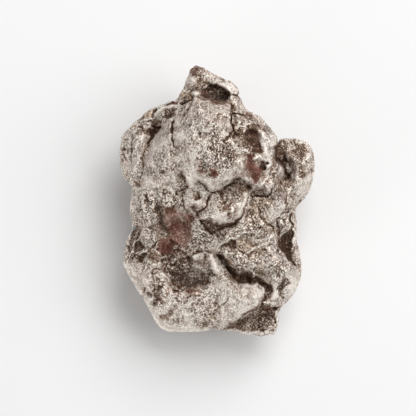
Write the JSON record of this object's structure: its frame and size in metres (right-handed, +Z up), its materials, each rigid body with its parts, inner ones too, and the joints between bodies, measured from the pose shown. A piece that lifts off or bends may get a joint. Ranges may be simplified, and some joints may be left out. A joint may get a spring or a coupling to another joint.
{
  "type": "iron meteorite",
  "caption": "Deeply sculpted lump of iron meteorite with a hollowed horn, overlapping lobes, crevices and thumbprint hollows, lying on its flattest side.",
  "frame": {"origin": "under the middle of the stone, on the surface that it rests on", "axes": "+Y along the stone to its horn, +X across it, +Z up from the resting surface"},
  "size_m": [0.043, 0.06, 0.0286],
  "materials": {
    "meteorite_iron": "weathered nickel-iron: pale worn edges, dull grey faces, brown and red-brown rust in the hollows, finely pitted all over"
  },
  "bodies": {
    "root": {"meteorite": "meteorite_iron"}
  },
  "joints": []
}
